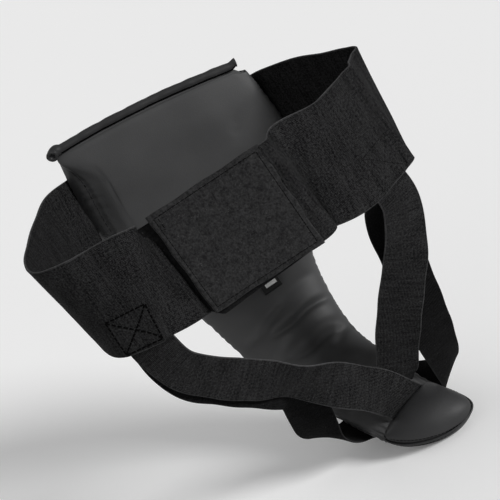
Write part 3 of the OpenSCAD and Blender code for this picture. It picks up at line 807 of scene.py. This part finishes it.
def makeBinding():
    x = np.linspace(binding["left"], binding["right"], binding["steps"])
    middle, down, side, back = pouchFrame(0.0)
    curl, tip = ramp(x, 0.90, binding["left"]), ramp(-x, 0.88, 0.95)
    spots = middle + side * (x * pouch["half"][0])[:, None] + back * (binding["behind"] + 0 * x)[:, None]
    spots[:, 2] += pouchLift(np.zeros_like(x), x) + binding["wide"] / 2 - 0.4 + curl * 0.8 + tip * 2.2
    spots[:, 1] += 0.4 * np.sin(x * 9)
    # the left end curls round towards the body
    more = binding["bend"]
    turn = np.linspace(0, 1.45, more + 1)[1:, None]
    bend = spots[0] + (side * np.sin(turn) + back * (1 - np.cos(turn))) * binding["curl"]
    bend[:, 2] -= np.linspace(0, 1.5, more)
    spots = np.concatenate([bend[::-1], spots])
    x = np.concatenate([np.full(more, x[0]), x])
    curl, tip = ramp(x, 0.90, binding["left"]), ramp(-x, 0.88, 0.95)
    swell = 0.30 * curl - 0.16 * tip * (1 - ramp(-x, 0.93, 0.955)) + 0.03 * np.sin(x * 23) + 0.02 * np.sin(x * 51)
    radii = binding["wide"] / 2 * (1 + swell)

    def squeeze(k, angle):
        # flat on the sewn side, two turned edges along the roll, and small pulls
        groove = 0.13 * bump(np.sin((angle - 1.1) / 2), 0, 0.09) + 0.09 * bump(np.sin((angle - 2.2) / 2), 0, 0.07)
        return 1 - groove + 0.02 * np.sin(3 * angle + k * 0.35)
    piece = makeTube("topBinding", spots, radii, binding["ring"], squeeze)
    placePiece(piece, "harness", bindingFinish, ["top_binding"])
    # sewn just under the roll on the front, and through the roll itself, low on the body side
    batch = []
    sewOnPouch(batch, [(0.16, turn) for turn in np.linspace(196, 344, 70)], 3.6, 0.6, 0.3)
    edge = spots + back * (radii * 0.80)[:, None] - np.array([0, 0, 1.0]) * (radii * 0.55)[:, None]
    edge = edge[more + 3:-2]
    sewRun(batch, edge, np.tile(back + np.array([0, 0, -0.5]), (len(edge), 1)), 2.6, 1.2, 0.1, 0.25)
    makeStitches("bindingStitches", batch, "harness")


makeBinding()
print("binding made")

# ---------- flap place ----------
flap = {"middle": np.array([10.5, rearY - 2, 1.0]), "yaw": -9, "roll": 4, "wide": 106.0, "high": 102.0}


def flapPoint(x, y, z):
    x, y, z = np.broadcast_arrays(*(np.asarray(v, float) for v in (x, y, z)))
    roll, yaw = math.radians(flap["roll"]), math.radians(flap["yaw"])
    vx, vz = x * math.cos(roll) + z * math.sin(roll), z * math.cos(roll) - x * math.sin(roll)
    spots = np.stack([vx * math.cos(yaw) - y * math.sin(yaw), vx * math.sin(yaw) + y * math.cos(yaw), vz], -1)
    return spots + flap["middle"]


flapOut = flapPoint(0, 1, 0) - flapPoint(0, 0, 0)
hingeX = -flap["wide"] / 2
depths = {"base": -1.9, "panel": -7.2}

# ---------- belts ----------
halfW = 164.0
beltTall, beltThick = 100.0, 2.0
join = {"left": 1.68, "right": 1.8}


def joinPoint(s, q, d):
    return pouchPoint(np.array([s]), np.array([float(q)]), d)[0]


endDepth = depths["panel"] + 1.3
leftPath = [joinPoint(join["left"], 0, 4), (halfW - 39, frontY + 12, 0), (halfW - 20, frontY + 60, 0),
            (halfW - 5, frontY + 124, 0), (halfW - 7, frontY + 160, 0), (halfW - 24, rearY - 25, 0),
            (halfW - 44, rearY - 19, 0), (halfW - 64, rearY - 13, 0), flapPoint(72, endDepth + 1, 0),
            flapPoint(58, endDepth, 0)]
leftFace = [(0.8, -0.6, 0), (0.8, -0.6, 0), (0.96, -0.27, -0.04), (0.98, -0.05, -0.14), (0.9, 0.4, -0.16),
            (0.45, 0.9, -0.04), (0.32, 0.95, 0.02), (0.2, 0.98, 0.05), (0.15, 1, 0.01), (0.158, 1, 0)]
rightPath = [joinPoint(join["right"], 180, 4), (-halfW + 48, frontY + 48, 0), (-halfW + 23, frontY + 85, 0),
             (-halfW + 6, frontY + 117, 0), (-halfW + 7, frontY + 126, 0), (-halfW + 20, rearY - 49, 0),
             (-halfW + 45, rearY - 32, 0), (-halfW + 69, rearY - 22, 0), flapPoint(hingeX - 24, depths["base"] - 9, 0),
             flapPoint(hingeX - 10, depths["base"] - 2, 0), flapPoint(hingeX + 3, depths["base"] - 1, 0)]
rightFace = [(-0.9, -0.5, 0), (-0.8, -0.62, 0), (-0.82, -0.56, 0), (-0.95, -0.3, -0.05), (-0.95, 0.3, 0),
             (-0.72, 0.68, 0.12), (-0.5, 0.86, 0.12), (-0.45, 0.9, 0.1), (-0.35, 0.94, 0.04), (-0.05, 1, 0),
             (0.158, 1, 0)]


def heightOn(rail, wide):
    # height above a strap's middle line
    return wide * np.sign(rail["side"][:, 2])[:, None]


def shapeLeftBelt(run, wide, rail):
    total = rail["length"][-1]
    # the upper corner curls in behind the flap
    corner = ramp(run, total - 22, total) * ramp(heightOn(rail, wide), 18, 50)
    out = clothWaves(rail, wide, (0.9, 60, 1.3), (0.12, 14, 4.1)) - 3.0 * corner
    slide = 0.35 * np.sin(run / 9.0 + wide) * (np.abs(wide) > 44) - 6.0 * corner * np.sign(rail["side"][:, 2])[:, None]
    return out, slide


def shapeRightBelt(run, wide, rail):
    at = rail["at"][:, None]
    out = clothWaves(rail, wide, (1.0, 60, 8.3), (0.12, 14, 2.1)) * (1 - ramp(at, 8.6, 9.4))
    out += 8.0 * bump(at, 6.85, 0.6) - 13.0 * bump(at, 8.15, 0.42)
    # old fold marks: sharp ridges at the two outer turns
    for middle, high, reach in zip(creaseRuns, (3.4, 4.2), (11, 10)):
        out += high * np.clip(1 - np.abs(run - middle) / reach, 0, 1)
    return out, 0.35 * np.sin(run / 8.0 + wide) * (np.abs(wide) > 44)


leftRail = strapFrames(leftPath, leftFace, 2.2)
leftBelt, leftSheet = makeStrap("leftBelt", leftRail, beltTall, beltThick, 3.0, shapeLeftBelt)
placePiece(leftBelt, "harness", beltFinish, ["belt_left"])
rightRail = strapFrames(rightPath, rightFace, 1.4)
creaseRuns = np.interp([3.5, 4.93], rightRail["at"], rightRail["length"])
rightBelt, rightSheet = makeStrap("rightBelt", rightRail, beltTall, beltThick, 3.0, shapeRightBelt)
placePiece(rightBelt, None, beltFinish, ["belt_right_front", "belt_right_rear"])
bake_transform(rightBelt)
print("belts made")

# ---------- closure flap, its base and the panel behind it ----------
cover = {"thick": 2.2, "inset": 4.5, "groove": 0.55, "double": 3.2, "short": 12}
panel = {"x": (hingeX + 4, 67.0), "thick": 1.3, "wide": 98.0, "high": 44.0, "low": -53.0}


def flatRail(x0, x1, depth, spacing=2.0, bow=None):
    x = np.linspace(x0, x1, max(4, int(abs(x1 - x0) / spacing)) + 1)
    middle = flapPoint(x, depth + (bow(x) if bow else 0 * x), 0.0)
    return straightRail(x, np.abs(x - x0), middle, flapPoint(0, 0, 1) - flapPoint(0, 0, 0), flapOut)


def coverBow(x):
    return -0.8 + 0.9 * ramp(x, 20, 53)


def shapeCover(run, wide, rail):
    x = rail["at"][:, None] + 0 * wide
    fromX, fromZ = flap["wide"] / 2 - np.abs(x), flap["high"] / 2 - np.abs(wide)
    edge = np.minimum(fromX, fromZ)
    free = ramp(x, -53, -38)  # flush with the belt at the hinge side
    out = clothWaves(rail, wide, (0.35, 22, 5.2), (0.14, 5, 9.2))
    swell = 1 + free * (0.22 * ramp(edge, cover["inset"], 14) - cover["groove"] * bump(edge, cover["inset"], 0.8))
    swell *= 0.2 + 0.8 * free
    return out, 0.4 * np.sin(x / 7 + np.sign(wide)) * (fromZ < 3), swell, 0.4 * np.sin(wide / 6) * (fromX < 3)


def shapeBase(run, wide, rail):
    return clothWaves(rail, wide, (0.15, 20, 2.2)), 0


def shapePanel(run, wide, rail):
    # cut square at the top, with a lower edge that slants down to the left
    x = rail["at"][:, None]
    share = (x - panel["x"][0]) / (panel["x"][1] - panel["x"][0])
    up = heightOn(rail, wide)
    low = panel["low"] - share * 7.0 + 12.0 * ramp(x, 46, 60)
    z = low + (up / panel["wide"] + 0.5) * (panel["high"] - low)
    return clothWaves(rail, wide, (0.4, 20, 6.2)) * ramp(-z, 35, 55), heightOn(rail, z - up)


coverRail = flatRail(hingeX, flap["wide"] / 2, -cover["thick"] / 2, 1.5, coverBow)
flapCover, coverSheet = makeStrap("flapCover", coverRail, flap["high"], cover["thick"], 1.6, shapeCover, 1.2, 0.0)
placePiece(flapCover, "flap", plushFinish, ["flap_cover"])

baseRail = flatRail(hingeX + 0.5, flap["wide"] / 2 - 1.2, depths["base"] - 1.4, bow=coverBow)
flapBase = makeStrap("flapBase", baseRail, beltTall - 2, 1.9, 3.0, shapeBase)[0]
placePiece(flapBase, "flap", beltFinish, ["flap_base"])

panelRail = flatRail(*panel["x"], depths["panel"] - panel["thick"] / 2)
closurePanel = makeStrap("closurePanel", panelRail, panel["wide"], panel["thick"], 3.0, shapePanel)[0]
placePiece(closurePanel, "harness", panelFinish, ["closure_panel"])

# the flap's stitching: a line all round, and a doubled one at the free edge's upper corner
batch = []
near, far, high = cover["inset"], flap["wide"] - cover["inset"], flap["high"] / 2 - cover["inset"]
beside, below = far - cover["double"], high - cover["short"]
sewOnSheet(batch, coverSheet, [(near, high), (far, high), (far, -high), (near, -high), (near, high)])
sewOnSheet(batch, coverSheet, [(beside, high), (beside, below), (far, below)])
makeStitches("flapStitches", batch, "flap")
print("flap made")

# ---------- leg bands ----------
bandWide, bandThick = 40.0, 1.6
boxAt = {"left": 6.0, "right": 5.82}
neckBand, leftEnd, rightEnd = 7.0, 7.95, 7.66


def lapPoints(path, face, x, layer):
    # where a band runs inside the belt, counted in layers from it
    inward = unitRows(curveAt(face, [x]))[0]
    depth = beltThick / 2 + (layer + 1) * 1.2 + (layer + 0.5) * bandThick
    return [curveAt(path, [x])[0] + np.array([0, 0, z]) - inward * depth for z in (-12, -27, -42)]


def overPoint(s, x, h):
    middle, down, side, back = frameAt(s)
    return middle + side * x + back * (curveAt(pouch["rear"], [s])[0] * puff(np.array([s]))[0] + h)


def underPoint(s, x, h):
    middle, down, side, back = frameAt(s)
    return middle + side * x - back * (curveAt(pouch["front"], [s])[0] * (0.7 + 0.3 * puff(np.array([s]))[0]) + h)



leftBox = tuple(unitRows(curveAt(leftFace, [boxAt["left"]]))[0])
rightBox = tuple(unitRows(curveAt(rightFace, [boxAt["right"]]))[0])
y = frontY
under = tuple(-pouchFrame(neckBand)[3][0])
bands = {
    "bandLeftRear": {
        "path": lapPoints(leftPath, leftFace, boxAt["left"], 1.2) + [
            (108, y + 182, -83), (85, y + 180, -110), (58, y + 174, -135), (27, y + 167, -162), (-6, y + 160, -194),
            (-31, y + 156, -221), overPoint(leftEnd, -4, 1.5)],
        "face": [leftBox] * 3 + [(0.32, 0.94, 0.0), (0.3, 0.92, 0.12), (0.28, 0.92, 0.14), (0.42, 0.85, -0.15),
                                 (-0.12, 0.9, 0.42), (-0.2, 0.93, 0.3), (-0.3, 0.9, 0)],
        "node": "band_left_rear", "seam": pouchFrame(leftEnd)[2][0]},
    "bandRightRear": {
        "path": lapPoints(rightPath, rightFace, boxAt["right"], 0.3) + [
            (-124, y + 167, -74), (-109, y + 169, -110), (-90, y + 163, -143), (-72, y + 155, -176),
            (-59, y + 144, -207), overPoint(rightEnd, -3, 1.5)],
        "face": [rightBox] * 3 + [(-0.25, 0.93, -0.2), (-0.15, 0.94, 0.25), (-0.05, 0.93, 0.35), (0, 0.92, 0.4),
                                  (-0.1, 0.95, 0.3), (-0.3, 0.9, 0)],
        "node": "band_right_rear", "seam": pouchFrame(rightEnd)[2][0]},
    "bandLeftSide": {
        "path": lapPoints(leftPath, leftFace, boxAt["left"], 2.2) + [
            (109, y + 171, -92), (85, y + 166, -121), (58, y + 159, -148), (33, y + 150, -176), (33, y + 143, -209),
            (33, y + 137, -234), (20, y + 128, -250), underPoint(neckBand, 28, 5.1), underPoint(neckBand, 6, 2.6)],
        "face": [leftBox] * 3 + [(0.15, 0.9, 0.3), (0.1, 0.9, 0.4), (0.1, 0.9, 0.4), (0.1, 0.95, 0.3), (0.2, 0.95, 0),
                                 (0.6, 0.7, -0.3), (0.5, 0, -0.8), under, under],
        "node": "band_left_side", "seam": None},
    "bandRightSide": {
        "path": lapPoints(rightPath, rightFace, boxAt["right"], 1.3) + [
            (-110, y + 150, -82), (-106, y + 150, -124), (-102, y + 147, -166), (-99, y + 140, -214),
            (-97, y + 131, -254), (-87, y + 117, -263), underPoint(neckBand, -28, 5.1), underPoint(neckBand, -6, 2.6)],
        "face": [rightBox] * 3 + [(-0.2, 0.95, 0.2), (-0.1, 0.95, 0.25), (0, 0.95, 0.25), (-0.2, 0.95, 0.1),
                                  (-0.6, 0.7, -0.3), (-0.5, 0, -0.8), under, under],
        "node": "band_right_side", "seam": None},
}


def shapeBand(seed):
    def shape(run, wide, rail):
        out = clothWaves(rail, wide, (0.7, 40, seed), (0.1, 10, seed + 3)) * ramp(run, 30, 60)
        return out, 0.3 * np.sin(run / 6.0 + seed) * np.sign(wide) * (np.abs(wide) > 16)
    return shape


for k, (name, band) in enumerate(bands.items()):
    rail = strapFrames(band["path"], band["face"], 2.0)
    piece = makeStrap(name, rail, bandWide, bandThick, 2.4, shapeBand(1.7 * k + 0.4), seam=band["seam"], bead=0.12)[0]
    # the side bands take the darker elastic, which is painted shade
    placePiece(piece, "harness", bandFinish if "Rear" in name else shadedSideBandFinish, [band["node"]])
print("bands made")

# ---------- box stitching through belt and bands ----------


boxSewing = {"half": 19.0, "low": 47.0, "high": 13.0, "pitch": 4.6, "gap": 1.8}


def sewBox(name, sheet, rail, at, node, thick):
    middle = np.interp(at, rail["at"], rail["length"])
    down = -np.sign(rail["side"][0, 2])
    low, high = down * boxSewing["low"], down * boxSewing["high"]
    a, b = middle - boxSewing["half"], middle + boxSewing["half"]
    batch = []
    for corners in ([(a, low), (b, low), (b, high), (a, high), (a, low)], [(a, low), (b, high)], [(b, low), (a, high)]):
        sewOnSheet(batch, sheet, corners, boxSewing["pitch"], thick, gap=boxSewing["gap"])
    makeStitches(name, batch, "harness", [node])


sewBox("boxStitchesLeft", leftSheet, leftRail, boxAt["left"], "box_stitch_left", 1.2)
sewBox("boxStitchesRight", rightSheet, rightRail, boxAt["right"], "box_stitch_right", 0.5)

# ---------- tail ----------
tail = {"form": [(0, 0.97, 0.18, 0.56), (0.05, 0.98, 0.42, 0.60), (0.16, 1.0, 0.62, 0.66), (0.40, 0.95, 0.74, 0.66),
                 (0.62, 0.84, 0.72, 0.62), (0.80, 0.68, 0.58, 0.52), (0.92, 0.48, 0.39, 0.38), (0.98, 0.26, 0.20, 0.20),
                 (1, 0.08, 0.07, 0.07)],
        "wide": 68.0, "long": 55.0, "lap": 4.5, "thick": 26.0, "turn": -0.38, "round": 2.1, "rows": 64, "turns": 96,
        "swell": 3.0, "sewing": {"from": 0.8, "to": 7.4, "turns": (14, 166, 194, 346)}}


def tailPoint(s, q, d=0.0):
    s, q = np.broadcast_arrays(np.asarray(s, float), np.asarray(q, float))
    shape = s.shape
    s, q = s.ravel(), np.radians(q.ravel())
    form = curveAt(tail["form"], s)
    middle, down, side, back = frameAt(neckEnd)
    f = form[:, 0] * (1 - d / tail["long"])
    spots = middle - down * tail["lap"] + (down * f[:, None] + side * (tail["turn"] * f * f)[:, None]) * tail["long"]
    x = (form[:, 1] * tail["wide"] / 2 - d) * rounded(np.cos(q), tail["round"])
    high = np.maximum(np.where(np.sin(q) >= 0, form[:, 2], form[:, 3]) * tail["thick"] - d, 0.2)
    spots = spots + side * x[:, None] + back * (high * rounded(np.sin(q), tail["round"]))[:, None]
    return spots.reshape(shape + (3,))


def makeTail():
    end = len(tail["form"]) - 1
    coarse = np.linspace(0, end, 30), np.linspace(0, 360, 48, endpoint=False)
    fine = np.linspace(0, end, tail["rows"]), np.linspace(0, 360, tail["turns"], endpoint=False)

    def hold(s, q):
        return np.maximum(seamLine(q, 0.006), 1 - ramp(s, 0.1, 0.6))
    s, q, spots, out, filled = fillForm("tail", tailPoint, coarse, fine, hold, tail["swell"], 1.5)
    face = 0.5 * filled
    face += 0.5 * ripple(spots.reshape(-1, 3), 17, 4.4).reshape(s.shape) * ramp(s, 0.5, 2)
    # short pleats at the seam, and the skin nipped in along the welt
    face += 0.45 * np.sin(np.radians(q) * 17 + 2 * np.sin(np.radians(q) * 3)) * (1 - ramp(s, 0.4, 1.6))
    face -= 0.9 * seamLine(q, 0.012)
    piece = closedForm("tailPad", spots + out * face[..., None])
    # the tail skins take the darker leather, which is painted shade
    placePiece(piece, "tail", shadedTailFinish, ["tail_upper_skin", "tail_under_skin", "tail_foam"])
    lengths = np.linspace(0.3, end, 90)
    line = smoothList(np.concatenate([tailPoint(lengths, 0, -0.2), tailPoint(lengths[::-1], 180, -0.2)]), 2)
    welt = makeTube("tailWelt", line, np.full(len(line), 1.0), 10)
    placePiece(welt, "tail", bindingFinish, ["tail_welt"])
    # stitches beside the welt, on both faces
    batch = []
    lengths = np.linspace(tail["sewing"]["from"], tail["sewing"]["to"], 50)
    for turn in tail["sewing"]["turns"]:
        line = tailPoint(lengths, turn, -0.1)
        sewRun(batch, line, line - tailPoint(lengths, turn, 1.5), 3.4, 0.5, 0.15)
    makeStitches("tailStitches", batch, "tail")


makeTail()
print("tail made")

# ---------- size label ----------
label = {"s": 3.94, "x": -11.0, "wide": 19.0, "long": 20.0, "thick": 0.7, "rows": 14,
         "barRun": (8.5, 15.0, 5), "barWide": (-6.5, 5.0, 9)}


def makeLabel():
    middle, down, side, back = frameAt(label["s"])
    t = np.linspace(0, 1, label["rows"])
    lift = 1.2 * np.sin(t * math.pi) + 1.8 * t
    start = overPoint(label["s"], label["x"], 1.2) - down * 4
    spots = start + down * (t * label["long"])[:, None] + back * lift[:, None]
    rail = straightRail(t, t * label["long"], spots, -side, back)
    piece, sheet = makeStrap("sizeLabel", rail, label["wide"], label["thick"], 2.0, None, 0.4, 0.05)
    placePiece(piece, "harness", labelFinish, ["size_label"])
    # a plain woven bar where a size mark would be
    grid, uv = [], []
    for lift in (0.12, -0.1):
        for r in np.linspace(*label["barRun"]):
            for x in np.linspace(*label["barWide"]):
                spot, normal = surfaceSpot(sheet, r, x)
                grid.append(spot + normal * lift)
                uv.append((r, x))
    rows, cols = label["barRun"][2], label["barWide"][2]
    n = rows * cols
    faces = [(v, v + 1, v + cols + 1, v + cols) for r in range(rows - 1) for v in range(r * cols, (r + 1) * cols - 1)]
    faces += [tuple(v + n for v in reversed(f)) for f in faces]
    rim = [*range(cols), *range(2 * cols - 1, n, cols), *range(n - 2, n - cols - 1, -1), *range(n - 2 * cols, 0, -cols)]
    faces += [(a, b, b + n, a + n) for a, b in zip(rim, rim[1:] + rim[:1])]
    mark = makePiece("labelBar", grid, faces, uv)
    faceOutwards(mark)
    placePiece(mark, "harness", labelMarkFinish)


makeLabel()

# ---------- carried-over solids get their own finish ----------
nodeFinishes = {"cup_cushion": cushionFinish, "cup_shell": cupFinish, "hook_strip": hookFinish,
                "loop_patch": panelFinish}
for name, finish in nodeFinishes.items():
    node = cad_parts[name]
    node.data.materials.clear()
    node.data.materials.append(finish)

# ---------- floor and light ----------
studio = {"floorColour": (0.97, 0.97, 0.97), "glow": 0.08, "world": 0.31,
          "suns": {"key": (2.75, 18, (-0.95, 1.0, 0.64)), "fill": (0.5, 60, (0.7, -1.0, 0.7))}}


def makeStudio():
    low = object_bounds()[0]
    bpy.ops.object.select_all(action="DESELECT")
    bpy.ops.mesh.primitive_plane_add(size=14, location=(0, 0, low.z - 0.0005))
    floor = bpy.context.object
    floor.name = "floor"
    finish, tree, shader, place = newFinish("paleFloor", 1, 0)
    # the backdrop looks paler to the camera and in reflections, and lights nothing
    path = makeNode(tree, "LightPath", {}).outputs
    seen = total(tree, (path["Is Camera Ray"], 1), (path["Is Glossy Ray"], 1), (path["Is Transmission Ray"], 1))
    feed(tree, shader, {"Base Color": (*studio["floorColour"], 1), "Emission Color": (1, 1, 1, 1),
                        "Emission Strength": times(tree, seen, studio["glow"])})
    floor.data.materials.append(finish)
    bpy.ops.object.transform_apply(location=True, rotation=False, scale=False)
    floor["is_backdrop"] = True
    world = bpy.data.worlds.new("studio")
    world.use_nodes = True
    feed(world.node_tree, world.node_tree.nodes["Background"], {"Color": (1, 1, 1, 1), "Strength": studio["world"]})
    bpy.context.scene.world = world
    for name, (power, spread, spot) in studio["suns"].items():
        lamp = bpy.data.objects.new(name, bpy.data.lights.new(name, "SUN"))
        lamp.data.energy = power
        lamp.data.angle = math.radians(spread)
        lamp.location = spot
        lamp.rotation_mode = "QUATERNION"
        lamp.rotation_quaternion = (-Vector(spot)).to_track_quat("-Z", "Y")
        bpy.context.scene.collection.objects.link(lamp)


makeStudio()
bpy.context.scene.view_settings.view_transform = "Standard"
print("studio made")

low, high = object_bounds()
